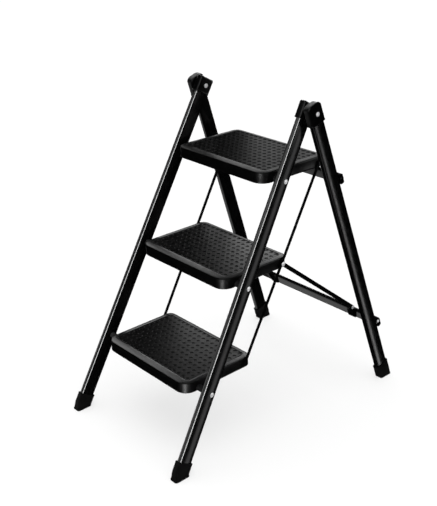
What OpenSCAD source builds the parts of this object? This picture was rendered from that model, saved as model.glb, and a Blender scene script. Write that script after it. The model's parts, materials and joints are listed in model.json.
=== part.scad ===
// Folding three-step ladder with an A-frame of flat-oval tube.
// Frame: +X to the right as seen from the climbing side, +Y to the rear, +Z up.
// The origin lies on the floor, at the centre of the footprint.

/* [Front rails] */
// Lean of the front rails back from the vertical, degrees
front_lean = 28.5; // [26:0.5:31]
// Distance of each front rail's centre from the middle, at the floor
rail_x = 193; // [189:0.5:197]
// Inward splay of each front rail towards the top, degrees
rail_splay = 1.4; // [1:0.1:1.8]
// Length of a front rail along its slope, floor line to tube end
rail_len = 889; // [884:1:892]

/* [Rear legs] */
// Lean of the rear legs forward from the vertical, degrees
rear_lean = 19.3; // [18:0.1:21]
// Distance of each rear leg's centre from the middle, at the floor
leg_x = 228; // [224:0.5:232]
// Inward splay of each rear leg towards the top, degrees
leg_splay = 2.3; // [2:0.1:2.5]
// Length of a rear leg along its slope, floor line to tube end
leg_len = 829; // [824:1:831]

/* [Tube] */
// Width of the tube, side to side
tube_w = 14; // [13.5:0.5:16]
// Depth of the tube, front to rear
tube_d = 38; // [34:0.5:40]
// Radius of the tube's rounded front and rear
tube_r = 5; // [2:0.5:6.5]
// Wall of the tube
tube_wall = 1.2; // [1:0.1:2]

/* [Hinge] */
// Distance of the top hinge along the front rail
hinge_s = 873; // [870:0.5:876]
// Radius of the hinge rivet
hinge_r = 5; // [4:0.5:6]

/* [Steps] */
// Width of a step
step_w = 300; // [290:1:304]
// Depth of a step, front to rear
step_d = 205; // [195:1:210]
// Height of a step's skirt
step_h = 27; // [24:0.5:30]
// Radius of a step's front corners
step_r = 30; // [20:1:36]
// Radius of a step's rear corners
step_rear_r = 18; // [12:1:24]
// Width of the plain border in front of the mat
border_front = 20; // [16:0.5:24]
// Width of the plain border beside the mat
border_side = 13; // [10:0.5:18]
// Width of the plain border behind the mat
border_rear = 12; // [9:0.5:16]
// Wall of the step pan
pan_wall = 3; // [2.5:0.25:4]
// Distance of the lowest step's axle along the front rail
first_step_s = 213; // [205:1:220]
// Distance between step axles along the front rail
step_pitch = 250; // [240:1:252]
// Depth of the step axles behind the rail's front face
axle_t = 25; // [22:0.5:27]
// Drop of the step axle below the step's top
axle_drop = 19.5; // [18:0.5:21]
// Distance of the step axle behind the step's front edge
axle_back = 40.5; // [36:0.5:44]
// Radius of the step axles
axle_r = 4; // [3.5:0.5:5]

/* [Linkage] */
// Distance of the rear pivot behind the step axle
link_back = 141; // [138:0.5:142]
// Height of the rear pivot above the step axle
link_up = 5; // [3:0.5:7]
// Width of a link rod
rod_w = 7; // [6:0.5:7]
// Thickness of a link rod and of a tie strap
bar_t = 3; // [2:0.5:3]
// Width of a tie strap
strap_w = 10; // [8:0.5:10]
// Distance of the tie strap's rear pivot along the rear leg
tie_along = 207; // [203:0.5:211]
// Distance of that pivot in front of the rear leg's rear face
tie_depth = 6; // [4:0.5:8]
// Radius of the link pins
pin_r = 3; // [2.5:0.5:3.5]

/* [Crossbars] */
// Height of a crossbar along the rear legs
bar_h = 25; // [22:0.5:28]
// Depth of a crossbar
bar_d = 12; // [10:0.5:14]
// Centre of the lower crossbar along the rear legs
lower_bar = 176.5; // [172:0.5:180]
// Centre of the upper crossbar along the rear legs
upper_bar = 622; // [612:1:632]

/* [Caps and boots] */
// Wall of the plastic end caps
cap_wall = 3; // [2.5:0.5:3]
// Length of a front rail cap along the rail
front_cap_len = 40; // [36:1:44]
// Length of a hinge cap along the rear leg
hinge_cap_len = 49; // [46:1:52]
// Length of a boot along its tube
boot_len = 50; // [44:1:56]
// Width of a boot's sole
sole_w = 24; // [22:0.5:26]
// Depth of a boot's sole
sole_d = 41; // [38:0.5:44]

/* [Hidden] */
SIDES = [["left", -1], ["right", 1]];

$fn = 48;
hull_fn = 32;
black = "#1b1b1c";
matte = "#141415";
mat_black = "#0e0e0f";
steel = "#c4c6c8";

run = 0.05;          // radial running clearance of a pin in its bore
slack = 0.15;        // gap between pieces of one body
far = 400;           // longer than any sideways cut
mat_recess = 0.8;    // mat surface below the border
mat_t = 2.2;         // thickness of the mat
mat_r = 10;          // radius of the mat's corners
plate_t = 3;         // thickness of the pan's top plate
rib_t = 2;           // thickness of a rib under a step
rib_h = 8;           // height of a rib under a step
bracket_t = 2.5;     // thickness of a hinge bracket
bracket_h = 16;      // height of a hinge bracket
head_t = 2.4;        // height of a rivet head
head_r = 5.8;        // radius of a step axle's head
hinge_head_r = 7.4;  // radius of the hinge rivet's outer head
hinge_tail_r = 5.8;  // radius of the hinge rivet's inner head
spacer_r = 7.5;      // radius of an axle spacer
rod_x = step_w / 2 + 1;          // inner face of a link rod
strap_x = rod_x + bar_t + 1.1;   // inner face of a tie strap
pin_head_t = 0.6;    // height of a link pin's flat head
lug_t = 3.5;         // thickness of a tie lug
lug_r = 5.7;         // radius of a tie lug's end
lug_foot = 24;       // length of a tie lug's foot along the crossbar
cap_r = 5;           // radius of the caps' and boots' upright edges
sole_t = 4;          // thickness of a boot's sole lip
toe_s = 16;          // start of a boot's straight sleeve along the tube
sole_front = 5;      // front sole's front edge behind the rail's floor line
sole_rear = 1;       // rear sole's rear edge ahead of the leg's floor line

// Height and depth of a point at s along the front rail and t behind its front face
function rail_y(s, t) = s * sin(front_lean) + t * cos(front_lean);
function rail_z(s, t) = s * cos(front_lean) - t * sin(front_lean);
hinge_y = rail_y(hinge_s, tube_d / 2);
hinge_z = rail_z(hinge_s, tube_d / 2);

// The rear leg's centre line passes through the hinge, which sets its floor line
leg_foot_y = hinge_y + hinge_z * tan(rear_lean) + tube_d / 2 / cos(rear_lean);
function leg_y(a, d) = leg_foot_y - a * sin(rear_lean) - d * cos(rear_lean);
function leg_z(a, d) = a * cos(rear_lean) - d * sin(rear_lean);
hinge_a = (hinge_z + tube_d / 2 * sin(rear_lean)) / cos(rear_lean);
y_mid = (sole_front + leg_foot_y - sole_rear) / 2;

// Distance along a leaning tube at which its square-cut end clears the sole
function tube_start(lean) = tube_d * tan(lean) + sole_t / cos(lean);

function rail_cx(s) = rail_x - s * sin(rail_splay);
function leg_cx(a) = leg_x - a * sin(leg_splay);
function axle_s(k) = first_step_s + k * step_pitch;
function axle_y(k) = rail_y(axle_s(k), axle_t);
function axle_z(k) = rail_z(axle_s(k), axle_t);
function link_y(k) = axle_y(k) + link_back;
function link_z(k) = axle_z(k) + link_up;
tie_y = leg_y(tie_along, tie_depth);
tie_z = leg_z(tie_along, tie_depth);

// Rounded rectangle made of squares and circles, centred on the origin
module round_rect(w, d, r) {
    square([w - 2 * r, d], center = true);
    square([w, d - 2 * r], center = true);
    for (x = [-1, 1], y = [-1, 1]) translate([x * (w / 2 - r), y * (d / 2 - r)]) circle(r);
}

// Outline of a step, front edge at y = 0, with larger front corners
module step_outline(inset) {
    rounded_plan(inset, inset, inset, step_r - inset, max(step_rear_r - inset, 2));
}
// The recess for the mat, with its own border widths
module mat_outline(gap) {
    rounded_plan(border_front + gap, border_side + gap, border_rear + gap, mat_r - gap, mat_r - gap);
}
// Plan with front and rear corner radii, given the margins inside the step's rectangle
module rounded_plan(front, side, rear, f, b) {
    w = step_w - 2 * side;
    end = step_d - rear;
    for (x = [-1, 1]) {
        translate([x * (w / 2 - f), front + f]) circle(f);
        translate([x * (w / 2 - b), end - b]) circle(b);
    }
    translate([-(w / 2 - f), front]) square([w - 2 * f, step_d / 2 - front]);
    translate([-w / 2, front + f]) square([w, end - b - front - f]);
    translate([-(w / 2 - b), step_d / 2]) square([w - 2 * b, end - step_d / 2]);
}

// Frames of the front rail and the rear leg: z runs up the tube from the floor line
module in_rail(side) {
    translate([side * rail_x, -y_mid, 0]) rotate([-front_lean, 0, 0])
        rotate([0, -side * rail_splay, 0]) children();
}
module in_leg(side) {
    translate([side * leg_x, leg_foot_y - y_mid, 0]) rotate([rear_lean, 0, 0])
        rotate([0, -side * leg_splay, 0]) children();
}
// Frame of the rear legs' plane without the splay, for what lies across both
module in_rear_plane() {
    translate([0, leg_foot_y - y_mid, 0]) rotate([rear_lean, 0, 0]) children();
}
// Cylinder along X through a point of the side view
module across(y, z, r, x0, x1) {
    translate([x0, y - y_mid, z]) rotate([0, 90, 0]) cylinder(r = r, h = x1 - x0);
}
// The same, given outwards from the middle on one side
module outwards(side, y, z, r, x0, x1) {
    across(y, z, r, side > 0 ? x0 : -x1, side > 0 ? x1 : -x0);
}
// Domed rivet head facing outwards on one side
module dome(side, y, z, r, x, h) {
    translate([side * x, y - y_mid, z]) rotate([0, side * 90, 0]) rotate_extrude() intersection() {
        translate([0, h - (r * r + h * h) / (2 * h)]) circle((r * r + h * h) / (2 * h), $fn = 96);
        square([r, h]);
    }
}

// ---- front frame ----
module front_rail(side) {
    color(black) difference() {
        in_rail(side) translate([0, tube_d / 2, tube_start(front_lean)])
            linear_extrude(rail_len - tube_start(front_lean)) difference() {
                round_rect(tube_w, tube_d, tube_r);
                round_rect(tube_w - 2 * tube_wall, tube_d - 2 * tube_wall, tube_r - tube_wall);
            }
        for (k = [0:2]) across(axle_y(k), axle_z(k), axle_r + run, -far, far);
        across(hinge_y, hinge_z, hinge_r + run, -far, far);
    }
}
module front_cap(side) {
    w = tube_w + 2 * cap_wall;
    d = tube_d + 2 * cap_wall;
    base = rail_len + 4 - front_cap_len;
    color(matte) difference() {
        in_rail(side) translate([0, tube_d / 2, base]) hull() {
            linear_extrude(front_cap_len - 3) round_rect(w, d, cap_r, $fn = hull_fn);
            linear_extrude(front_cap_len) round_rect(w - 5, d - 5, cap_r - 1, $fn = hull_fn);
        }
        in_rail(side) translate([0, tube_d / 2, base - 1]) linear_extrude(rail_len - base + 1 + slack)
            round_rect(tube_w + slack, tube_d + slack, tube_r);
        across(hinge_y, hinge_z, hinge_r + run, -far, far);
    }
}
// Boot pulled over a tube's end: a sleeve along the tube and a flat sole on the floor.
// The child is the frame of the tube; dir is +1 where the tube lies behind its floor line.
module boot(lean, splay, dir) {
    edge = dir > 0 ? sole_front : -sole_rear;
    difference() {
        union() {
            hull() {
                rotate([-dir * lean, 0, 0]) rotate([0, -splay, 0])
                    translate([0, dir * tube_d / 2, toe_s]) linear_extrude(boot_len - toe_s)
                        round_rect(tube_w + 5, tube_d + 5, cap_r, $fn = hull_fn);
                translate([0, edge + dir * sole_d / 2, 0]) linear_extrude(sole_t)
                    round_rect(sole_w - 3, sole_d - 1, 5, $fn = hull_fn);
            }
            translate([0, edge + dir * sole_d / 2, 0]) linear_extrude(sole_t) round_rect(sole_w, sole_d, 6);
        }
        rotate([-dir * lean, 0, 0]) rotate([0, -splay, 0])
            translate([0, dir * tube_d / 2, tube_start(lean) - slack]) linear_extrude(boot_len)
                round_rect(tube_w + slack, tube_d + slack, tube_r);
        translate([0, 0, -20]) cube([80, 160, 40], center = true);
    }
}
module front_boot(side) {
    color(matte) translate([side * rail_x, -y_mid, 0]) boot(front_lean, side * rail_splay, 1);
}
// Rivet through both tubes and both caps: a wide head outside, a small one inside
module hinge_rivet(side) {
    inner = rail_cx(hinge_s) - tube_w / 2 - cap_wall - 0.6;
    outer = leg_cx(hinge_a) + tube_w / 2 + cap_wall + 0.6;
    color(steel) {
        outwards(side, hinge_y, hinge_z, hinge_r, inner - 0.5, outer + 0.5);
        dome(side, hinge_y, hinge_z, hinge_head_r, outer, head_t + 0.4);
        dome(-side, hinge_y, hinge_z, hinge_tail_r, -inner, head_t);
    }
}
module hinge_washers() {
    in_face = rail_cx(hinge_s) + tube_w / 2 + cap_wall;
    out_face = leg_cx(hinge_a) - tube_w / 2 - cap_wall;
    gap = 0.7;
    color(matte) for (s = SIDES) difference() {
        outwards(s[1], hinge_y, hinge_z, 13, in_face + gap, out_face - gap);
        across(hinge_y, hinge_z, hinge_r + run, -far, far);
    }
}
// Rod through both rails and under the step, with a head at each end
module step_axle(k) {
    end = rail_cx(axle_s(k)) + tube_w / 2 + 0.25;
    color(steel) {
        across(axle_y(k), axle_z(k), axle_r, -end - 0.5, end + 0.5);
        for (s = SIDES) dome(s[1], axle_y(k), axle_z(k), head_r, end, head_t);
    }
}
module axle_spacers(k) {
    end = rail_cx(axle_s(k)) - tube_w / 2 - 0.3;
    color(matte) for (s = SIDES) difference() {
        outwards(s[1], axle_y(k), axle_z(k), spacer_r, step_w / 2 + 0.5, end);
        across(axle_y(k), axle_z(k), axle_r + run, -far, far);
    }
}

// ---- rear frame ----
module rear_leg(side) {
    color(black) difference() {
        in_leg(side) translate([0, -tube_d / 2, tube_start(rear_lean)])
            linear_extrude(leg_len - tube_start(rear_lean)) difference() {
                round_rect(tube_w, tube_d, tube_r);
                round_rect(tube_w - 2 * tube_wall, tube_d - 2 * tube_wall, tube_r - tube_wall);
            }
        across(hinge_y, hinge_z, hinge_r + run, -far, far);
        in_rear_plane() for (a = [lower_bar, upper_bar])
            translate([side * leg_cx(a), 1, a]) rotate([90, 0, 0]) cylinder(r = 4.5 + run, h = 5);
    }
}
module hinge_cap(side) {
    w = tube_w + 2 * cap_wall;
    d = tube_d + 2 * cap_wall;
    base = leg_len + 5 - hinge_cap_len;
    color(matte) difference() {
        in_leg(side) translate([0, -tube_d / 2, base]) hull() {
            linear_extrude(hinge_cap_len - 7) round_rect(w, d, cap_r, $fn = hull_fn);
            linear_extrude(hinge_cap_len - 2) round_rect(w - 3, d - 10, cap_r - 1, $fn = hull_fn);
            linear_extrude(hinge_cap_len) round_rect(w - 6, d - 20, cap_r - 1, $fn = hull_fn);
        }
        in_leg(side) translate([0, -tube_d / 2, base - 1]) linear_extrude(leg_len - base + 1 + slack)
            round_rect(tube_w + slack, tube_d + slack, tube_r);
        across(hinge_y, hinge_z, hinge_r + run, -far, far);
    }
}
module rear_boot(side) {
    color(matte) translate([side * leg_x, leg_foot_y - y_mid, 0]) boot(rear_lean, side * leg_splay, -1);
}
// Flat-oval tube across the rear faces of the legs, open at both ends
module crossbar(a) {
    half = leg_cx(a) + tube_w / 2 - 0.5;
    color(black) in_rear_plane() difference() {
        translate([-half, bar_d / 2 + slack, a]) rotate([0, 90, 0]) linear_extrude(2 * half) difference() {
            round_rect(bar_h, bar_d, 3);
            round_rect(bar_h - 2 * tube_wall, bar_d - 2 * tube_wall, 3 - tube_wall);
        }
        for (s = SIDES) translate([s[1] * leg_cx(a), bar_d + 2, a]) rotate([90, 0, 0])
            cylinder(r = 4.5 + run, h = bar_d + 4);
    }
}
module crossbar_rivets(a) {
    color(steel) in_rear_plane() for (s = SIDES) translate([s[1] * leg_cx(a), 0, a]) rotate([-90, 0, 0]) {
        translate([0, 0, -3]) cylinder(r = 4.5, h = bar_d + slack + 3.5);
        translate([0, 0, bar_d + slack + 0.1]) cylinder(r1 = 7, r2 = 5, h = 2, $fn = 48);
    }
}
// Ear that carries the tie strap, on a foot against the front of the lower crossbar
module tie_lug(side) {
    x0 = side > 0 ? rod_x : -rod_x - lug_t;
    color(black) difference() {
        in_rear_plane() {
            hull() {
                translate([x0, -2.6, lower_bar - 11]) cube([lug_t, 2.5, 22]);
                translate([x0, -tie_depth, tie_along]) rotate([0, 90, 0])
                    cylinder(r = lug_r, h = lug_t, $fn = hull_fn);
            }
            translate([side > 0 ? x0 + lug_t - lug_foot : x0, -2.6, lower_bar - 11])
                cube([lug_foot, 2.5, 22]);
        }
        across(tie_y, tie_z, pin_r + run, -far, far);
    }
}
module tie_lug_pins() {
    color(steel) for (s = SIDES) {
        outwards(s[1], tie_y, tie_z, pin_r, rod_x - 0.5, strap_x + bar_t + 0.6);
        outwards(s[1], tie_y, tie_z, 5, rod_x - 1.8, rod_x - 0.1);
        dome(s[1], tie_y, tie_z, 5.4, strap_x + bar_t + 0.3, 2);
    }
}

// ---- tie straps and link rods ----
module bar(side, x, w, ends) {
    d = ends[1] - ends[0];
    translate([side > 0 ? x : -x - bar_t, ends[0][0] - y_mid, ends[0][1]])
        rotate([atan2(d[1], d[0]), 0, 0]) rotate([90, 0, 90]) linear_extrude(bar_t) {
            translate([0, -w / 2]) square([norm(d), w]);
            circle(w / 2);
            translate([norm(d), 0]) circle(w / 2);
        }
}
module tie_strap(side) {
    color(black) difference() {
        bar(side, strap_x, strap_w, [[tie_y, tie_z], [link_y(1), link_z(1)]]);
        across(tie_y, tie_z, pin_r + run, -far, far);
        across(link_y(1), link_z(1), pin_r, -far, far);
    }
}
module tie_strap_rivets() {
    color(steel) for (s = SIDES) {
        outwards(s[1], link_y(1), link_z(1), pin_r, strap_x, strap_x + bar_t + 0.5);
        dome(s[1], link_y(1), link_z(1), head_r, strap_x + bar_t, head_t);
    }
}
module link_rod(side) {
    color(black) difference() {
        union() {
            bar(side, rod_x, rod_w, [[link_y(0), link_z(0)], [link_y(2), link_z(2)]]);
            for (k = [0:2]) outwards(side, link_y(k), link_z(k), 5.5, rod_x, rod_x + bar_t);
        }
        for (k = [0:2]) across(link_y(k), link_z(k), pin_r + run, -far, far);
    }
}

// ---- steps ----
module at_step(k) {
    translate([0, axle_y(k) - axle_back - y_mid, axle_z(k) + axle_drop]) children();
}
module step_pan(k) {
    floor_z = -mat_recess - mat_t;
    color(black) difference() {
        at_step(k) difference() {
            translate([0, 0, -step_h]) linear_extrude(step_h) step_outline(0);
            translate([0, 0, floor_z]) linear_extrude(20) mat_outline(0);
            difference() {
                translate([0, 0, -step_h - 1]) linear_extrude(step_h + 1 + floor_z - plate_t)
                    step_outline(pan_wall);
                translate([0, 0, floor_z - plate_t - rib_h]) ribs();
            }
        }
        across(axle_y(k), axle_z(k), axle_r + run, -far, far);
        across(link_y(k), link_z(k), pin_r + run, -far, far);
    }
}
// Lattice under the step's top plate
module ribs() {
    for (i = [-3:3]) translate([i * 40 - rib_t / 2, 0, 0]) cube([rib_t, step_d, rib_h + 1]);
    for (i = [0:3]) translate([-step_w / 2 + 8, 60 + 35 * i - rib_t / 2, 0])
        cube([step_w - 16, rib_t, rib_h + 1]);
}
module step_mat(k) {
    color(mat_black) at_step(k) translate([0, 0, -mat_recess - mat_t]) linear_extrude(mat_t)
        mat_outline(slack);
}
module step_brackets(k) {
    x0 = step_w / 2 - pan_wall - bracket_t - slack;
    color(steel) difference() {
        for (s = SIDES) translate([s[1] > 0 ? x0 : -x0 - bracket_t, axle_y(k) - 6 - y_mid,
                                   axle_z(k) - 6]) cube([bracket_t, link_back + 10, bracket_h]);
        across(axle_y(k), axle_z(k), axle_r + run, -far, far);
        across(link_y(k), link_z(k), pin_r + run, -far, far);
    }
}
module link_pins(k) {
    in_x = step_w / 2 - pan_wall - bracket_t - 2 * slack;
    color(steel) for (s = SIDES) {
        outwards(s[1], link_y(k), link_z(k), pin_r, in_x - 1, rod_x + bar_t + 0.4);
        outwards(s[1], link_y(k), link_z(k), 5, in_x - 2, in_x);
        outwards(s[1], link_y(k), link_z(k), 5, step_w / 2 + 0.1, rod_x - 0.3);
        outwards(s[1], link_y(k), link_z(k), 4.6, rod_x + bar_t + 0.2, rod_x + bar_t + 0.2 + pin_head_t);
    }
}

front_rail(-1);  // front_rail_left
front_rail(1);  // front_rail_right
front_cap(-1);  // front_cap_left
front_cap(1);  // front_cap_right
front_boot(-1);  // front_boot_left
front_boot(1);  // front_boot_right
hinge_rivet(-1);  // hinge_rivet_left
hinge_rivet(1);  // hinge_rivet_right
hinge_washers();
step_axle(0);  // step_axle_lower
step_axle(1);  // step_axle_middle
step_axle(2);  // step_axle_upper
axle_spacers(0);  // axle_spacers_lower
axle_spacers(1);  // axle_spacers_middle
axle_spacers(2);  // axle_spacers_upper
rear_leg(-1);  // rear_leg_left
rear_leg(1);  // rear_leg_right
hinge_cap(-1);  // hinge_cap_left
hinge_cap(1);  // hinge_cap_right
rear_boot(-1);  // rear_boot_left
rear_boot(1);  // rear_boot_right
crossbar(lower_bar);  // crossbar_lower
crossbar(upper_bar);  // crossbar_upper
crossbar_rivets(lower_bar);  // crossbar_rivets_lower
crossbar_rivets(upper_bar);  // crossbar_rivets_upper
tie_lug(-1);  // tie_lug_left
tie_lug(1);  // tie_lug_right
tie_lug_pins();
tie_strap(-1);  // tie_strap_left
tie_strap(1);  // tie_strap_right
tie_strap_rivets();
link_rod(-1);  // link_rod_left
link_rod(1);  // link_rod_right
step_pan(0);  // step_pan_lower
step_pan(1);  // step_pan_middle
step_pan(2);  // step_pan_upper
step_mat(0);  // step_mat_lower
step_mat(1);  // step_mat_middle
step_mat(2);  // step_mat_upper
step_brackets(0);  // step_brackets_lower
step_brackets(1);  // step_brackets_middle
step_brackets(2);  // step_brackets_upper
link_pins(0);  // link_pins_lower
link_pins(1);  // link_pins_middle
link_pins(2);  // link_pins_upper
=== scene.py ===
"""Folding three-step ladder: the looks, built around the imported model. Metres, +Z up."""

import json
import math

import bmesh
import bpy
from mathutils import Matrix, Vector
from mathutils.geometry import delaunay_2d_cdt


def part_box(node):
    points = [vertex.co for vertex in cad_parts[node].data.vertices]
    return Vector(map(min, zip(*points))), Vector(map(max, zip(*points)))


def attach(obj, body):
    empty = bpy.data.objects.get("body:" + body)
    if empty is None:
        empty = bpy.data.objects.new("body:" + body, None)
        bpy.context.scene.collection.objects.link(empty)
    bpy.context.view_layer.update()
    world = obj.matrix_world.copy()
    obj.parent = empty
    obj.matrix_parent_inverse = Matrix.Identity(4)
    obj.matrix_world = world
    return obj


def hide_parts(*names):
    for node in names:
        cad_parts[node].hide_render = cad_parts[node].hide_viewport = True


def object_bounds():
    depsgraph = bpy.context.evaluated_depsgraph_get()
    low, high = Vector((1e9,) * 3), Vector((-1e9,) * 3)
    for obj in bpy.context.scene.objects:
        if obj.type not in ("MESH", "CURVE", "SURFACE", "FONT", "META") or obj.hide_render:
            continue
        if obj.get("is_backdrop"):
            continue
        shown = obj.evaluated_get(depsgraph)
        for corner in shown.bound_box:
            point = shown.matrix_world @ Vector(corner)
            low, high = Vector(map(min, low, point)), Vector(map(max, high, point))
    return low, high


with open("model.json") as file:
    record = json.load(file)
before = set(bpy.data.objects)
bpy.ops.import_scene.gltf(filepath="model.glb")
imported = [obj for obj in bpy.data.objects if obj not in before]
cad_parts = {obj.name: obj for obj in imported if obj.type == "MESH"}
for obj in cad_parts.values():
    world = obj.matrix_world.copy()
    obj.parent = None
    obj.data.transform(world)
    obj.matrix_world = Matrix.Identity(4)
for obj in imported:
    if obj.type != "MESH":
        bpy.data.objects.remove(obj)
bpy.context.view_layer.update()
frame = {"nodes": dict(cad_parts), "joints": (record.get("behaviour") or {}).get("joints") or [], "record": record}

# ---------------------------------------------------------------- the part's own sizes, in metres
# RAIL_X and LEG_X are half the spacing at the floor, HINGE_S is the hinge's distance up the rail
FRONT_LEAN, FRONT_SPLAY, RAIL_X = math.radians(28.5), math.radians(1.4), 0.193
REAR_LEAN, REAR_SPLAY, LEG_X = math.radians(19.3), math.radians(2.3), 0.228
RAIL_LEN, LEG_LEN, HINGE_S = 0.889, 0.829, 0.873
TUBE_W, TUBE_D = 0.014, 0.038
STEP_W, STEP_D, STEP_H = 0.300, 0.205, 0.027
LEVELS = ("lower", "middle", "upper")
SIDES = (("left", -1), ("right", 1))

hinge = Vector(next(j for j in frame["joints"] if j["name"] == "rear_fold")["pos_m"])
hinge_y0 = HINGE_S * math.sin(FRONT_LEAN) + TUBE_D / 2 * math.cos(FRONT_LEAN)
RAIL_FOOT_Y = hinge.y - hinge_y0
LEG_FOOT_Y = hinge.y + hinge.z * math.tan(REAR_LEAN) + TUBE_D / 2 / math.cos(REAR_LEAN)


def rail_frame(side):
    """Front rail: z runs up the tube's front face from the floor line, y into the tube."""
    return (
        Matrix.Translation((side * RAIL_X, RAIL_FOOT_Y, 0))
        @ Matrix.Rotation(-FRONT_LEAN, 4, "X")
        @ Matrix.Rotation(-side * FRONT_SPLAY, 4, "Y")
        @ Matrix.Translation((0, TUBE_D / 2, 0))
    )


def leg_frame(side):
    """Rear leg: z runs up the tube from the floor line, the origin on the tube's centre line."""
    return (
        Matrix.Translation((side * LEG_X, LEG_FOOT_Y, 0))
        @ Matrix.Rotation(REAR_LEAN, 4, "X")
        @ Matrix.Rotation(-side * REAR_SPLAY, 4, "Y")
        @ Matrix.Translation((0, -TUBE_D / 2, 0))
    )


# ---------------------------------------------------------------- materials
def node_tree(name):
    m = bpy.data.materials.new(name)
    m.use_nodes = True
    nt = m.node_tree
    nt.nodes.clear()
    out = nt.nodes.new("ShaderNodeOutputMaterial")
    bsdf = nt.nodes.new("ShaderNodeBsdfPrincipled")
    nt.links.new(bsdf.outputs["BSDF"], out.inputs["Surface"])
    return m, nt, bsdf


def noise_tex(nt, scale, detail=3.0, rough=0.5, stretch=(1, 1, 1)):
    co = nt.nodes.new("ShaderNodeTexCoord")
    mp = nt.nodes.new("ShaderNodeMapping")
    mp.inputs["Scale"].default_value = stretch
    nt.links.new(co.outputs["Object"], mp.inputs["Vector"])
    n = nt.nodes.new("ShaderNodeTexNoise")
    n.inputs["Scale"].default_value = scale
    n.inputs["Detail"].default_value = detail
    n.inputs["Roughness"].default_value = rough
    nt.links.new(mp.outputs["Vector"], n.inputs["Vector"])
    return n.outputs["Fac"]


def map_range(nt, value, a, b, c, d):
    n = nt.nodes.new("ShaderNodeMapRange")
    for key, v in (("From Min", a), ("From Max", b), ("To Min", c), ("To Max", d)):
        n.inputs[key].default_value = v
    nt.links.new(value, n.inputs["Value"])
    return n.outputs["Result"]


def mix_colour(nt, fac, a, b):
    n = nt.nodes.new("ShaderNodeMix")
    n.data_type = "RGBA"
    for socket, v in (("A", a), ("B", b)):
        target = next(i for i in n.inputs if i.name == socket and i.type == "RGBA")
        if isinstance(v, (tuple, list)):
            target.default_value = (*v[:3], 1)
        else:
            nt.links.new(v, target)
    nt.links.new(fac, n.inputs["Factor"])
    return next(o for o in n.outputs if o.type == "RGBA")


def bump(nt, height, strength, distance, normal=None):
    b = nt.nodes.new("ShaderNodeBump")
    b.inputs["Strength"].default_value = strength
    b.inputs["Distance"].default_value = distance
    nt.links.new(height, b.inputs["Height"])
    if normal is not None:
        nt.links.new(normal, b.inputs["Normal"])
    return b.outputs["Normal"]


CLOUD_SCALE, SMUDGE_SCALE, BUMP_STRENGTH = 26.0, 60.0, 0.6


def finish_material(name, dark, light, rough, spec, metallic=0.0, grain=900.0,
                    grain_depth=0.00004, wave=40.0, wave_depth=0.0, stretch=(1, 1, 1)):
    """A moulded, coated or plated surface: cloudy colour, uneven gloss and a fine grain."""
    m, nt, bsdf = node_tree(name)
    cloud = noise_tex(nt, CLOUD_SCALE, 4.0, 0.55)
    colour = mix_colour(nt, map_range(nt, cloud, 0.32, 0.68, 0, 1), dark, light)
    nt.links.new(colour, bsdf.inputs["Base Color"])
    smudge = noise_tex(nt, SMUDGE_SCALE, 5.0, 0.6)
    gloss = map_range(nt, smudge, 0.3, 0.7, rough[0], rough[1])
    nt.links.new(gloss, bsdf.inputs["Roughness"])
    bsdf.inputs["Metallic"].default_value = metallic
    bsdf.inputs["Specular IOR Level"].default_value = spec
    normal = bump(nt, noise_tex(nt, grain, 2.0, 0.5, stretch), BUMP_STRENGTH, grain_depth)
    if wave_depth:
        normal = bump(nt, noise_tex(nt, wave, 2.0, 0.4), BUMP_STRENGTH, wave_depth, normal)
    nt.links.new(normal, bsdf.inputs["Normal"])
    return m


MAT = {
    "tube": finish_material(
        "powder_coat_black", (0.0012, 0.0012, 0.0013), (0.0024, 0.0024, 0.0026),
        (0.15, 0.21), 0.5, grain=1400, grain_depth=0.00001, wave=300, wave_depth=0.00001),
    "cap": finish_material(
        "cap_plastic_black", (0.0008, 0.0008, 0.0009), (0.0018, 0.0018, 0.0020),
        (0.36, 0.46), 0.22, grain=2200, grain_depth=0.00005),
    "boot": finish_material(
        "boot_rubber_black", (0.0050, 0.0050, 0.0051), (0.0085, 0.0085, 0.0087),
        (0.55, 0.72), 0.10, grain=1800, grain_depth=0.00008),
    "pan": finish_material(
        "step_plastic_black", (0.0012, 0.0012, 0.0013), (0.0026, 0.0026, 0.0028),
        (0.32, 0.42), 0.50, grain=2600, grain_depth=0.00003),
    "mat": finish_material(
        "step_mat_black", (0.0012, 0.0012, 0.0013), (0.0028, 0.0028, 0.0030),
        (0.34, 0.46), 0.5, grain=2600, grain_depth=0.00008),
    "strap": finish_material(
        "strip_steel_black", (0.0010, 0.0010, 0.0011), (0.0022, 0.0022, 0.0024),
        (0.32, 0.44), 0.20, grain=1500, grain_depth=0.00003),
    "spacer": finish_material(
        "nylon_grey", (0.0200, 0.0200, 0.0208), (0.0340, 0.0340, 0.0350),
        (0.34, 0.46), 0.5, grain=2000, grain_depth=0.00004),
    "washer": finish_material(
        "washer_black", (0.0040, 0.0040, 0.0040), (0.0070, 0.0070, 0.0070),
        (0.45, 0.60), 0.30, grain=2000, grain_depth=0.00004),
    "rivet": finish_material(
        "zinc_steel", (0.80, 0.81, 0.82), (0.94, 0.94, 0.95),
        (0.32, 0.42), 0.5, 0.40, grain=1600, grain_depth=0.00003, stretch=(1, 1, 0.2)),
    "dark_rivet": finish_material(
        "black_oxide_steel", (0.014, 0.014, 0.016), (0.032, 0.032, 0.036),
        (0.30, 0.45), 0.5, 0.8, grain=1600, grain_depth=0.00003),
    "bracket": finish_material(
        "bracket_steel_black", (0.0050, 0.0050, 0.0054), (0.0095, 0.0095, 0.0105),
        (0.35, 0.50), 0.40, grain=1200, grain_depth=0.00004),
}


# ---------------------------------------------------------------- mesh helpers
MERGE = 1e-6        # vertices closer than this become one
THINNEST = 1e-5     # smallest corner radius that stays a valid outline


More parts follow.
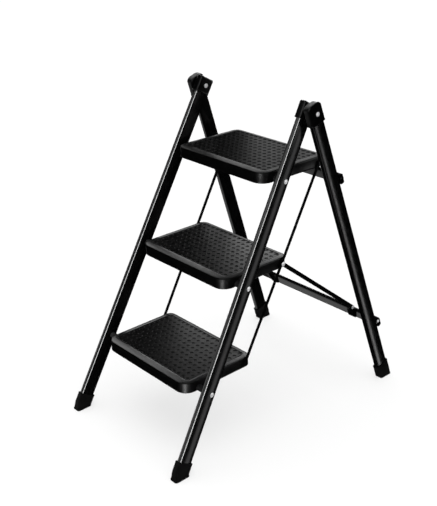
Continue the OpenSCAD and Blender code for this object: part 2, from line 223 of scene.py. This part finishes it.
def add_piece(name, verts, faces, slot, body, replaces=(), sharp=35):
    """Adds a closed mesh piece; edges that turn more than sharp degrees are shaded sharp."""
    me = bpy.data.meshes.new(name)
    me.from_pydata([tuple(v) for v in verts], [], faces)
    bm = bmesh.new()
    bm.from_mesh(me)
    bmesh.ops.remove_doubles(bm, verts=bm.verts, dist=MERGE)
    bmesh.ops.recalc_face_normals(bm, faces=bm.faces)
    for f in bm.faces:
        f.smooth = True
    for e in bm.edges:
        if len(e.link_faces) == 2 and e.calc_face_angle(0) > math.radians(sharp):
            e.smooth = False
    bm.to_mesh(me)
    bm.free()
    o = bpy.data.objects.new(name, me)
    bpy.context.scene.collection.objects.link(o)
    me.materials.append(MAT[slot])
    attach(o, body)
    if replaces:
        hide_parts(*replaces)
    return o


def rounded(w, d, r, n=6, cx=0.0, cy=0.0):
    """Rounded rectangle as 4 corners of n+1 points, counter-clockwise from the +x +y corner."""
    r = max(min(r, w / 2 - THINNEST, d / 2 - THINNEST), THINNEST)
    pts = []
    for i, (sx, sy) in enumerate(((1, 1), (-1, 1), (-1, -1), (1, -1))):
        for k in range(n + 1):
            a = math.pi / 2 * (i + k / n)
            pts.append((cx + sx * (w / 2 - r) + r * math.cos(a),
                        cy + sy * (d / 2 - r) + r * math.sin(a)))
    return pts


def plan(front, side, rear, rf, rb, n=10):
    """A step's rounded plan, front edge at y = 0, given the margins and the corner radii."""
    w, end = STEP_W - 2 * side, STEP_D - rear
    pts = []
    for i, (sx, sy, r) in enumerate(((1, 1, rb), (-1, 1, rb), (-1, -1, rf), (1, -1, rf))):
        cx = sx * (w / 2 - r)
        cy = end - r if sy > 0 else front + r
        for k in range(n + 1):
            a = math.pi / 2 * (i + k / n)
            pts.append((cx + r * math.cos(a), cy + r * math.sin(a)))
    return pts


class Builder:
    """Collects vertices and faces of one piece."""

    def __init__(self):
        self.v, self.f = [], []

    def loop(self, points):
        start = len(self.v)
        self.v += [Vector(p) for p in points]
        return list(range(start, start + len(points)))

    def bridge(self, a, b):
        n = len(a)
        for i in range(n):
            j = (i + 1) % n
            self.f.append((a[i], a[j], b[j], b[i]))

    def cap(self, a):
        self.f.append(tuple(a))

    def loft(self, loops, start=True, end=True):
        ids = [self.loop(p) for p in loops]
        for a, b in zip(ids, ids[1:]):
            self.bridge(a, b)
        if start:
            self.cap(ids[0])
        if end:
            self.cap(ids[-1])
        return ids

    def box(self, lo, hi, bevel):
        """Upright box with every edge softened."""
        (x0, y0, z0), (x1, y1, z1) = lo, hi
        w, d = x1 - x0, y1 - y0
        cx, cy = (x0 + x1) / 2, (y0 + y1) / 2
        b = min(bevel, w / 3, d / 3, (z1 - z0) / 3)
        rows = [(z0, b), (z0 + b, 0), (z1 - b, 0), (z1, b)]
        self.loft([[(x, y, z) for x, y in rounded(w - 2 * i, d - 2 * i, b, 3, cx, cy)]
                   for z, i in rows])

    def transform(self, m):
        self.v = [m @ v for v in self.v]


# ---------------------------------------------------------------- steps
step_origin = {}
for level in LEVELS:
    lo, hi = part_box("step_pan_" + level)
    step_origin[level] = Vector((0, lo.y, hi.z))

BORDER_FRONT, BORDER_SIDE, BORDER_REAR, MAT_R = 0.020, 0.013, 0.012, 0.010
R_FRONT, R_REAR = 0.030, 0.018
WALL, MAT_Z, FLOOR_Z = 0.003, -0.0008, -0.0030
EDGE_R, EDGE_DROP, EDGE_TURN = 0.0030, 0.0010, 82     # rolled edge of the border, turn in degrees
RIB_HALF, RIB_DEPTH, RIB_SINK, RIB_BEVEL = 0.001, 0.008, 0.0005, 0.0004
RIB_PITCH, RIB_MARGIN, CROSS_RIB_X = 0.040, 0.0045, 0.1400
CROSS_RIBS_Y = (0.060, 0.095, 0.130, 0.165)


def step_shell(level):
    """Skirt, rolled and crowned border, and a plate with a lattice of ribs below."""
    b = Builder()

    def outer(inset, z):
        return [(x, y, z) for x, y in plan(inset, inset, inset, R_FRONT - inset, R_REAR - inset)]

    def inner(gap, z):
        r = MAT_R - gap
        return [(x, y, z) for x, y in plan(BORDER_FRONT + gap, BORDER_SIDE + gap,
                                           BORDER_REAR + gap, r, r)]

    under = FLOOR_Z - WALL
    loops = [outer(0.0036, under), outer(0.0030, under - 0.0012), outer(WALL, -STEP_H + 0.0006),
             outer(WALL - 0.0006, -STEP_H), outer(0.0007, -STEP_H), outer(0.0001, -STEP_H + 0.0008),
             outer(0.0001, -STEP_H + 0.0040), outer(0.0006, -STEP_H + 0.0052),
             outer(0.0002, -0.0060)]
    for k in range(1, 8):
        a = math.radians(EDGE_TURN) * k / 7
        loops.append(outer(0.0002 + EDGE_R * (1 - math.cos(a)),
                           -EDGE_R - EDGE_DROP + EDGE_R * math.sin(a)))
    loops += [inner(-0.0044, -0.00015), inner(-0.0030, 0.0), inner(-0.0022, -0.0001),
              inner(-0.0008, -0.0002), inner(-0.0002, -0.0009), inner(0.0, -0.0020),
              inner(0.0002, FLOOR_Z)]
    b.loft(loops)
    low, high = under - RIB_DEPTH, under + RIB_SINK
    for i in range(-3, 4):
        x = i * RIB_PITCH
        b.box((x - RIB_HALF, RIB_MARGIN, low), (x + RIB_HALF, STEP_D - RIB_MARGIN, high), RIB_BEVEL)
    for y in CROSS_RIBS_Y:
        b.box((-CROSS_RIB_X, y - RIB_HALF, low), (CROSS_RIB_X, y + RIB_HALF, high), RIB_BEVEL)
    b.transform(Matrix.Translation(step_origin[level]))
    add_piece("step_shell_" + level, b.v, b.f, "pan", "step_" + level, ["step_pan_" + level], 40)


DIMPLE_ROWS, DIMPLE_COLS, DIMPLE_PITCH, DIMPLE_SIDES = 11, 17, 0.0160, 16
DIMPLE_RINGS = ((0.0050, 0.0), (0.0044, -0.0004), (0.0036, -0.0013))     # radius, height
MAT_GAP, MAT_CHAMFER, MAT_CHAMFER_DEPTH = 0.0011, 0.0005, 0.0006


def mat_outline(gap):
    r = MAT_R - gap
    return plan(BORDER_FRONT + gap, BORDER_SIDE + gap, BORDER_REAR + gap, r, r, 8)


def circle(cx, cy, r, n):
    return [(cx + r * math.cos(2 * math.pi * k / n), cy + r * math.sin(2 * math.pi * k / n))
            for k in range(n)]


def step_tread(level):
    """Mat with a square grid of round dimples and a chamfered edge."""
    b = Builder()
    rows, cols, pitch, n = DIMPLE_ROWS, DIMPLE_COLS, DIMPLE_PITCH, DIMPLE_SIDES
    y_mid = (BORDER_FRONT + STEP_D - BORDER_REAR) / 2
    edge, side = mat_outline(MAT_GAP + MAT_CHAMFER), mat_outline(MAT_GAP)
    rim = DIMPLE_RINGS[0][0]
    centres = [((c - (cols - 1) / 2) * pitch, y_mid + (r - (rows - 1) / 2) * pitch)
               for r in range(rows) for c in range(cols)]
    pts = [Vector(p) for p in edge]
    edges = [(i, (i + 1) % len(edge)) for i in range(len(edge))]
    for cx, cy in centres:
        s = len(pts)
        pts += [Vector(p) for p in circle(cx, cy, rim, n)]
        edges += [(s + k, s + (k + 1) % n) for k in range(n)]
    # a sparse lattice between the dimples, drawn in from the mat's edge, keeps the triangles regular
    for r in range(rows + 1):
        for c in range(cols + 1):
            pts.append(Vector(((c - cols / 2) * pitch * 0.985, y_mid + (r - rows / 2) * pitch * 0.96)))
    vs, _, fs, _, _, _ = delaunay_2d_cdt(pts, edges, [], 0, 1e-7)
    b.loop([(v.x, v.y, MAT_Z) for v in vs])
    for f in fs:
        c = sum((vs[i] for i in f), Vector((0, 0))) / len(f)
        col = round(c.x / pitch + (cols - 1) / 2)
        row = round((c.y - y_mid) / pitch + (rows - 1) / 2)
        if 0 <= col < cols and 0 <= row < rows:
            dx = c.x - (col - (cols - 1) / 2) * pitch
            dy = c.y - y_mid - (row - (rows - 1) / 2) * pitch
            if math.hypot(dx, dy) < rim * 0.999:
                continue
        b.f.append(tuple(f))
    for cx, cy in centres:
        b.loft([[(x, y, MAT_Z + z) for x, y in circle(cx, cy, r, n)] for r, z in DIMPLE_RINGS],
               start=False)
    b.loft([[(x, y, MAT_Z) for x, y in edge],
            [(x, y, MAT_Z - MAT_CHAMFER_DEPTH) for x, y in side],
            [(x, y, FLOOR_Z + 0.0001) for x, y in side]], start=False)
    b.transform(Matrix.Translation(step_origin[level]))
    add_piece("step_tread_" + level, b.v, b.f, "mat", "step_" + level, ["step_mat_" + level], 24)


for level in LEVELS:
    step_shell(level)
    step_tread(level)


# ---------------------------------------------------------------- tubes
TUBE_CROWN = 0.0006                                  # how far the crowned sides stand proud
SIDE_R, SIDE_TURN, FRONT_TURN = 0.0850, 10, 8        # side radius, and how far side and front turn
RAIL_START, LEG_START = 0.0255, 0.0180               # where the tubes begin inside their boots


def tube_profile():
    """Oval section: crowned sides and front, joined by tighter corner arcs, all tangent."""
    w, d = TUBE_W / 2 + TUBE_CROWN, TUBE_D / 2 + TUBE_CROWN
    side_a, front_a = math.radians(SIDE_TURN), math.radians(FRONT_TURN)
    turn = math.pi / 2 - side_a
    # the front arc and the corner arc fill what the side arc leaves of the half width and depth
    m = Matrix(((math.sin(front_a), math.sin(turn) - math.sin(front_a)),
                (1 - math.cos(front_a), math.cos(front_a) - math.cos(turn))))
    rest = Vector((w - SIDE_R * (1 - math.cos(side_a)), d - SIDE_R * math.sin(side_a)))
    front_r, r = m.inverted() @ rest
    quarter = []
    for k in range(4):
        t = front_a * k / 4
        quarter.append((front_r * math.sin(t), -d + front_r * (1 - math.cos(t))))
    cx = (front_r - r) * math.sin(front_a)
    cy = -d + front_r - (front_r - r) * math.cos(front_a)
    for k in range(13):
        t = front_a + (turn - front_a) * k / 12
        quarter.append((cx + r * math.sin(t), cy - r * math.cos(t)))
    for k in range(1, 13):
        t = side_a * (1 - k / 12)
        quarter.append((w - SIDE_R * (1 - math.cos(t)), -SIDE_R * math.sin(t)))
    half = quarter + [(x, -y) for x, y in reversed(quarter[:-1])]
    return half + [(-x, y) for x, y in reversed(half[1:-1])]


def tube(name, node, m, start, end, body):
    b = Builder()
    profile = tube_profile()
    rows = [start + (end - start) * k / 24 for k in range(25)]
    b.loft([[(x, y, z) for x, y in profile] for z in rows])
    b.transform(m)
    return add_piece(name, b.v, b.f, "tube", body, [node])


RAILS, LEGS = {}, {}
for side_name, side in SIDES:
    RAILS[side] = tube("rail_" + side_name, "front_rail_" + side_name, rail_frame(side),
                       RAIL_START, RAIL_LEN, "front_frame")
    LEGS[side] = tube("leg_" + side_name, "rear_leg_" + side_name, leg_frame(side),
                      LEG_START, LEG_LEN, "rear_frame")


# ---------------------------------------------------------------- caps and boots
CAP_WALL, CAP_R, CAP_R_MIN = 0.003, 0.0052, 0.002
CAP_W, CAP_D = TUBE_W + 2 * CAP_WALL, TUBE_D + 2 * CAP_WALL
FRONT_CAP_PAST, FRONT_CAP_LEN, FRONT_CAP_ROUND = 0.004, 0.040, 0.0050
HINGE_CAP_PAST, HINGE_CAP_LEN, HINGE_CAP_ROUND = 0.005, 0.049, 0.0110


def front_cap(side_name, side):
    """Snug cap over the front rail's top, with softly rounded upper edges."""
    b = Builder()
    top = RAIL_LEN + FRONT_CAP_PAST
    base = top - FRONT_CAP_LEN
    rows = [(base, 0.0026), (base, 0.0008), (base + 0.0008, 0.0), (base + 0.0030, 0.0),
            (base + 0.0036, 0.0005), (top - FRONT_CAP_ROUND, 0.0003)]
    for k in range(1, 7):
        a = math.pi / 2 * k / 6
        rows.append((top - FRONT_CAP_ROUND * (1 - math.sin(a)), 0.0003 + 0.0042 * (1 - math.cos(a))))
    b.loft([[(x, y, z) for x, y in rounded(CAP_W - 2 * i, CAP_D - 2 * i, max(CAP_R - i, CAP_R_MIN))]
            for z, i in rows], start=False)
    b.transform(rail_frame(side))
    add_piece("cap_front_" + side_name, b.v, b.f, "cap", "front_frame", ["front_cap_" + side_name])


def hinge_cap(side_name, side):
    """Cap over the rear leg's top, whose crown is rounded mostly from front to rear."""
    b = Builder()
    top = LEG_LEN + HINGE_CAP_PAST
    base = top - HINGE_CAP_LEN
    rows = [(base, 0.0026, 0.0026), (base, 0.0008, 0.0008), (base + 0.0008, 0, 0),
            (base + 0.0030, 0, 0), (base + 0.0036, 0.0005, 0.0005),
            (top - HINGE_CAP_ROUND, 0.0003, 0.0003)]
    for k in range(1, 10):
        a = math.pi / 2 * k / 9
        rows.append((top - HINGE_CAP_ROUND * (1 - math.sin(a)),
                     0.0003 + 0.0032 * (1 - math.cos(a)) ** 1.6,
                     0.0003 + 0.0150 * (1 - math.cos(a))))
    b.loft([[(x, y, z) for x, y in rounded(CAP_W - 2 * i, CAP_D - 2 * j, max(CAP_R - i, CAP_R_MIN))]
            for z, i, j in rows], start=False)
    b.transform(leg_frame(side))
    add_piece("cap_hinge_" + side_name, b.v, b.f, "cap", "rear_frame", ["hinge_cap_" + side_name])


BOOT_LEN, SOLE_W, SOLE_D, SOLE_R, SOLE_R_MIN = 0.050, 0.024, 0.041, 0.006, 0.003
SLEEVE_PAST, SLEEVE_R = 0.005, 0.005                 # the sleeve's outline past the tube's, its radius
BAR_COUNT, BAR_PITCH, BAR_FIRST = 6, 0.0064, 0.0160  # tread bars under the sole
BAR_HALF, BAR_TOP, BAR_INSET = 0.0016, 0.0012, 0.0025


def boot(name, node, m, foot, direction, edge, start, body):
    """Sleeve along the tube that flares into a flat sole with a lip and tread bars.

    The sole begins edge past the foot and runs in direction; the sleeve begins at start."""
    b = Builder()
    cy = foot.y + edge + direction * SOLE_D / 2

    def sole(inset, z):
        outline = rounded(SOLE_W - 2 * inset, SOLE_D - 2 * inset, max(SOLE_R - inset, SOLE_R_MIN),
                          8, foot.x, cy)
        return [Vector((x, y, z)) for x, y in outline]

    def sleeve(inset, s):
        outline = rounded(TUBE_W + SLEEVE_PAST - 2 * inset, TUBE_D + SLEEVE_PAST - 2 * inset,
                          SLEEVE_R, 8)
        return [m @ Vector((x, y, s)) for x, y in outline]

    a, c = sole(0.0012, 0.0044), sleeve(0.0002, start)
    loops = [sole(0.0014, 0.0010), sole(0.0010, 0.0006), sole(0.0002, 0.0006), sole(0.0, 0.0012),
             sole(0.0, 0.0030), sole(0.0003, 0.0038), a]
    for k in range(1, 6):
        t = k / 6
        loops.append([p.lerp(q, t) for p, q in zip(a, c)])
    loops += [c] + [sleeve(inset, BOOT_LEN + s) for inset, s in (
        (0.0002, -0.0040), (-0.0001, -0.0030), (-0.0001, -0.0008),
        (0.0007, 0), (0.0022, 0), (0.0024, -0.0040))]
    b.loft(loops, end=False)
    x = SOLE_W / 2 - BAR_INSET
    for k in range(BAR_COUNT):
        y = cy - BAR_FIRST + BAR_PITCH * k
        b.box((foot.x - x, y - BAR_HALF, 0.0), (foot.x + x, y + BAR_HALF, BAR_TOP), 0.0004)
    add_piece(name, b.v, b.f, "boot", body, [node])


for side_name, side in SIDES:
    front_cap(side_name, side)
    hinge_cap(side_name, side)
    boot("boot_front_" + side_name, "front_boot_" + side_name, rail_frame(side),
         Vector((side * RAIL_X, RAIL_FOOT_Y, 0)), 1, 0.005, 0.0245, "front_frame")
    boot("boot_rear_" + side_name, "rear_boot_" + side_name, leg_frame(side),
         Vector((side * LEG_X, LEG_FOOT_Y, 0)), -1, -0.001, 0.0175, "rear_frame")

# ---------------------------------------------------------------- hinge rivets
HEAD_R, HEAD_H, SHANK_R, TAIL_R, WASHER_R = 0.0053, 0.0014, 0.0048, 0.0056, 0.0074
RIVET_SIDES = 40


def hinge_rivet(side_name, side):
    """Rivet with a small crowned head on a thin black washer outside, and a plain tail inside."""
    node = "hinge_rivet_" + side_name
    lo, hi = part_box(node)
    y, z = (lo.y + hi.y) / 2, (lo.z + hi.z) / 2
    tip, tail = max(abs(lo.x), abs(hi.x)), min(abs(lo.x), abs(hi.x))

    def rings(rows):
        return [[(side * x, py, pz) for py, pz in circle(y, z, r, RIVET_SIDES)] for x, r in rows]

    washer = Builder()
    washer.loft(rings([(tip - 0.0024, 0.0049), (tip - 0.0024, WASHER_R - 0.0002),
                       (tip - 0.0021, WASHER_R), (tip - 0.0018, WASHER_R),
                       (tip - 0.0015, WASHER_R - 0.0003), (tip - 0.0015, 0.0049)]))
    add_piece(node + "_washer", washer.v, washer.f, "washer", "front_frame")
    head = Builder()
    rows = [(tail, 0.0040), (tail + 0.0004, 0.0050), (tail + 0.0012, TAIL_R),
            (tail + 0.0024, TAIL_R), (tail + 0.0024, SHANK_R), (tip - 0.0016, SHANK_R),
            (tip - 0.0016, HEAD_R - 0.0001)]
    for k in range(9):
        a = math.pi / 2 * k / 9
        rows.append((tip - HEAD_H * (1 - math.sin(a)), HEAD_R * math.cos(a)))
    head.loft(rings(rows))
    add_piece(node + "_head", head.v, head.f, "rivet", "front_frame", [node])


for side_name, side in SIDES:
    hinge_rivet(side_name, side)

# ---------------------------------------------------------------- CAD nodes that stay
slots = {s["node"]: s["material_slot"] for s in frame["record"]["subparts"]}
for name, o in frame["nodes"].items():
    o.data.materials.clear()
    o.data.materials.append(MAT[slots[name]])

# ---------------------------------------------------------------- stage
FLOOR_HALF, FLOOR_LEVEL, WALL_TOP, FLOOR_GREY = 14, -0.0002, 12, 0.45


def stage_mesh(name, verts, faces, material):
    """A mesh that belongs to the studio: not mirrored in the ladder, and without a shadow."""
    me = bpy.data.meshes.new(name)
    me.from_pydata(verts, [], faces)
    me.materials.append(material)
    o = bpy.data.objects.new(name, me)
    bpy.context.scene.collection.objects.link(o)
    o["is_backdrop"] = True
    o.visible_glossy = False
    o.visible_shadow = False
    return o


corners = [(x * FLOOR_HALF, y * FLOOR_HALF) for x, y in ((-1, -1), (1, -1), (1, 1), (-1, 1))]
floor_mat, _, matt = node_tree("studio_floor")
matt.inputs["Base Color"].default_value = (FLOOR_GREY, FLOOR_GREY, FLOOR_GREY, 1)
matt.inputs["Roughness"].default_value = 0.9
matt.inputs["Specular IOR Level"].default_value = 0.1
floor = stage_mesh("floor", [(x, y, FLOOR_LEVEL) for x, y in corners], [(0, 1, 2, 3)], floor_mat)

# a plain white backdrop behind the floor, which lights nothing
backdrop_mat, _, glow = node_tree("studio_backdrop")
glow.inputs["Base Color"].default_value = (0, 0, 0, 1)
glow.inputs["Emission Color"].default_value = (1, 1, 1, 1)
glow.inputs["Emission Strength"].default_value = 1.0
backdrop = stage_mesh("backdrop", [(x, y, z) for z in (FLOOR_LEVEL, WALL_TOP) for x, y in corners],
                      [(k, (k + 1) % 4, 4 + (k + 1) % 4, 4 + k) for k in range(4)] + [(4, 5, 6, 7)],
                      backdrop_mat)
backdrop.visible_diffuse = False

world = bpy.data.worlds.new("studio")
bpy.context.scene.world = world
world.use_nodes = True
world.node_tree.nodes["Background"].inputs["Color"].default_value = (1, 1, 1, 1)
world.node_tree.nodes["Background"].inputs["Strength"].default_value = 0.45
world.cycles_visibility.glossy = False


def only_on(light, name, receivers):
    """Lets a light reach the given objects alone."""
    group = bpy.data.collections.new(name)
    for o in receivers:
        group.objects.link(o)
    light.light_linking.receiver_collection = group


# even light on the floor alone, so that it stays pale
sun = bpy.data.lights.new("floor_light", "SUN")
sun.energy, sun.angle = 5.9, 1.2
sun.use_shadow = False
sun_o = bpy.data.objects.new("floor_light", sun)
bpy.context.scene.collection.objects.link(sun_o)
only_on(sun_o, "floor_only", [floor])


# ---------------------------------------------------------------- lights that the ladder mirrors
def card(name, centre, along, facing, size, radiance, receivers):
    """Soft rectangular light: its long side lies along one direction, and it shines along facing."""
    light = bpy.data.lights.new(name, "AREA")
    light.shape = "RECTANGLE"
    light.size, light.size_y = size
    light.energy = radiance * math.pi * size[0] * size[1]
    o = bpy.data.objects.new(name, light)
    bpy.context.scene.collection.objects.link(o)
    z = -Vector(facing).normalized()
    x = Vector(along)
    x = (x - z * x.dot(z)).normalized()
    o.matrix_world = Matrix.Translation(centre) @ Matrix((x, z.cross(x), z)).transposed().to_4x4()
    o.visible_camera = False
    o.visible_diffuse = False
    if receivers:
        only_on(o, name + "_pieces", receivers)


EYE = Vector((1.4844, -1.3487, 1.2838))     # where the main view is seen from
ACROSS = Vector((0.665, 0.747, 0))          # level, from left to right in the main view
RAIL_UP = Vector((0, math.sin(FRONT_LEAN), math.cos(FRONT_LEAN)))
LEG_UP = Vector((0, -math.sin(REAR_LEAN), math.cos(REAR_LEAN)))
MIDDLE = Vector((0, 0, 0.40))
BOX_DISTANCE = 2.0


def glint(name, point, normal, distance, along, size, radiance, receivers, slide=(0, 0)):
    """A card where a glossy surface at a point mirrors it towards the main view."""
    n = Vector(normal).normalized()
    v = (EYE - Vector(point)).normalized()
    out = 2 * n.dot(v) * n - v
    z = -out
    x = Vector(along)
    x = (x - z * x.dot(z)).normalized()
    centre = Vector(point) + out * distance + x * slide[0] + z.cross(x) * slide[1]
    card(name, centre, x, -out, size, radiance, receivers)


def soft_box(name, direction, size, radiance, receivers=None):
    """A card around the ladder's middle, for the sides that the main view doesn't show."""
    out = Vector(direction).normalized()
    along = Vector((0, 0, 1)) if abs(out.z) < 0.9 else Vector((1, 0, 0))
    card(name, MIDDLE + out * BOX_DISTANCE, along, -out, size, radiance, receivers)


def pieces(*starts):
    return [o for o in bpy.data.objects
            if o.type == "MESH" and not o.hide_render and o.name.startswith(starts)]


def tube_point(m, s):
    """A point on a tube's front face, s up the tube."""
    return m @ Vector((0, -TUBE_D / 2, s))


def turned(up, t):
    """Outward direction on a tube: 0 is its front face, 90 degrees its right side."""
    t = math.radians(t)
    return up.cross(Vector((1, 0, 0))) * -math.cos(t) + Vector((math.sin(t), 0, 0))


def rail_glint(name, side, turn, size, radiance, distance=1.1):
    glint(name, tube_point(rail_frame(side), 0.45), turned(RAIL_UP, turn), distance, RAIL_UP, size,
          radiance, [RAILS[side]])


def leg_glint(name, side, turn, size, radiance):
    glint(name, tube_point(leg_frame(side), 0.42), turned(LEG_UP, turn), 0.9, LEG_UP, size,
          radiance, [LEGS[side]])


MAT_LIGHT, RIM_LIGHT = (1.1, 1.55, 0.62), (3.4, 2.4, 1.3)      # radiance for each step, lowest first
for level, mat_light, rim_light in zip(LEVELS, MAT_LIGHT, RIM_LIGHT):
    mid = step_origin[level] + Vector((0, STEP_D / 2, 0))
    glint("tread_light_" + level, mid, (0, 0, 1), 0.42, ACROSS, (0.62, 0.50), mat_light,
          pieces("step_tread_" + level), (0.31, 0))
    front = step_origin[level] + Vector((0.03, 0.012, 0))
    glint("rim_light_" + level, front, (0.02, -0.075, 1), 0.60, ACROSS, (0.80, 0.34), rim_light,
          pieces("step_shell_" + level), (0.12, -0.04))
glint("step_corners", step_origin["middle"] + Vector((0.141, 0.009, -0.014)), (0.64, -0.77, 0),
      0.9, (0, 0, 1), (1.2, 0.22), 6.0, pieces("step_shell"))
rail_glint("band_right", 1, 0, (1.7, 0.6), 0.95)
rail_glint("band_right_turn", 1, 28, (1.7, 1.1), 0.95)
rail_glint("line_right", 1, 55, (1.7, 0.30), 31.0)
rail_glint("side_right", 1, 90.5, (1.7, 0.26), 0.75, 1.0)
rail_glint("band_left", -1, 10, (1.7, 1.0), 0.6)
rail_glint("line_left", -1, 54, (1.7, 0.34), 27.0)
leg_glint("leg_right_line", 1, 83, (1.4, 0.07), 3.0)
leg_glint("leg_left_front", -1, 25, (1.4, 1.5), 0.95)
for o in pieces("crossbar_lower", "crossbar_upper"):
    lo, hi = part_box(o.name)
    glint(o.name + "_front", (0.05, lo.y, hi.z - 0.013), turned(LEG_UP, 0), 0.5, (1, 0, 0),
          (0.9, 0.22), 0.75, [o])
caps = pieces("cap_")
glint("cap_tops", tube_point(rail_frame(1), RAIL_LEN), (0, 0.2, 1), 0.9, ACROSS, (1.6, 0.5), 6.0,
      caps)
glint("cap_corners", tube_point(rail_frame(1), 0.87), turned(RAIL_UP, 35), 1.1, RAIL_UP,
      (1.0, 0.40), 5.0, caps)
glint("hinge_cap_tops", tube_point(leg_frame(1), LEG_LEN), LEG_UP, 0.8, ACROSS, (1.3, 0.7), 2.2,
      pieces("cap_hinge"))

steel_black = pieces("rail_", "leg_", "crossbar", "cap_", "link_rod", "tie_", "boot_")
steps = pieces("step_")
treads = pieces("step_tread")
right_leg = [LEGS[1]]
back_right = [o for o in steel_black if o not in right_leg + caps] + steps
back_left = [RAILS[-1], LEGS[-1], LEGS[1]] + pieces("crossbar")
soft_box("above", (0, 0, 1), (1.6, 1.6), 0.45)
soft_box("front_high", (0.05, -0.75, 0.67), (1.2, 1.6), 0.9, steel_black)
soft_box("back_right", (0.66, 0.70, 0.26), (1.1, 1.5), 1.1, back_right)
soft_box("back_right_leg", (0.58, 0.70, 0.42), (0.5, 1.2), 0.9, right_leg)
soft_box("back", (-0.10, 0.92, 0.40), (1.2, 1.2), 0.9, steel_black)
soft_box("right", (0.95, -0.17, -0.26), (1.4, 0.5), 0.9, [RAILS[1], LEGS[1]])
soft_box("back_left", (-0.68, 0.69, 0.22), (1.1, 1.5), 1.0, back_left)
soft_box("left_low", (-0.75, -0.60, -0.26), (1.4, 0.9), 1.1, steel_black)
soft_box("left", (-0.966, 0.05, -0.26), (1.4, 0.7), 1.1, steel_black)
soft_box("back_left_line", (-0.60, 0.75, 0.25), (1.6, 0.25), 9.0, steel_black)
soft_box("steps_from_rear", (0.68, -0.68, 0.30), (1.0, 1.4), 0.35, steps)
soft_box("folded_treads", (-0.68, -0.67, 0.28), (1.3, 1.3), 0.9, treads)
soft_box("below", (0.1, 0.3, -0.95), (1.6, 1.6), 0.9, steps)
bright = [o for o in frame["nodes"].values() if slots[o.name] in ("rivet", "spacer")]
card("rivet_light", (1.4, 0.2, 0.9), (0, 1, 0), (-1, -0.1, -0.3), (1.6, 1.2), 1.2,
     bright + pieces("hinge_rivet"))

# ---------------------------------------------------------------- camera
AZIMUTH, ELEVATION, ROLL = math.radians(48.3), math.radians(23.65), math.radians(-0.9)
back = Vector((math.sin(AZIMUTH) * math.cos(ELEVATION), -math.cos(AZIMUTH) * math.cos(ELEVATION),
               math.sin(ELEVATION)))
level_right = (-back).cross(Vector((0, 0, 1))).normalized()
level_up = level_right.cross(-back)
right = level_right * math.cos(ROLL) + level_up * math.sin(ROLL)
up = level_up * math.cos(ROLL) - level_right * math.sin(ROLL)
cam = bpy.data.cameras.new("camera")
cam_o = bpy.data.objects.new("camera", cam)
bpy.context.scene.collection.objects.link(cam_o)
cam_o.matrix_world = Matrix.Translation(EYE) @ Matrix((right, up, back)).transposed().to_4x4()
cam.lens, cam.sensor_width = 64.13, 36
cam.shift_x, cam.shift_y = -0.0075, -0.0154
bpy.context.scene.camera = cam_o
bpy.context.scene.view_settings.view_transform = "Standard"

lo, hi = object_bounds()
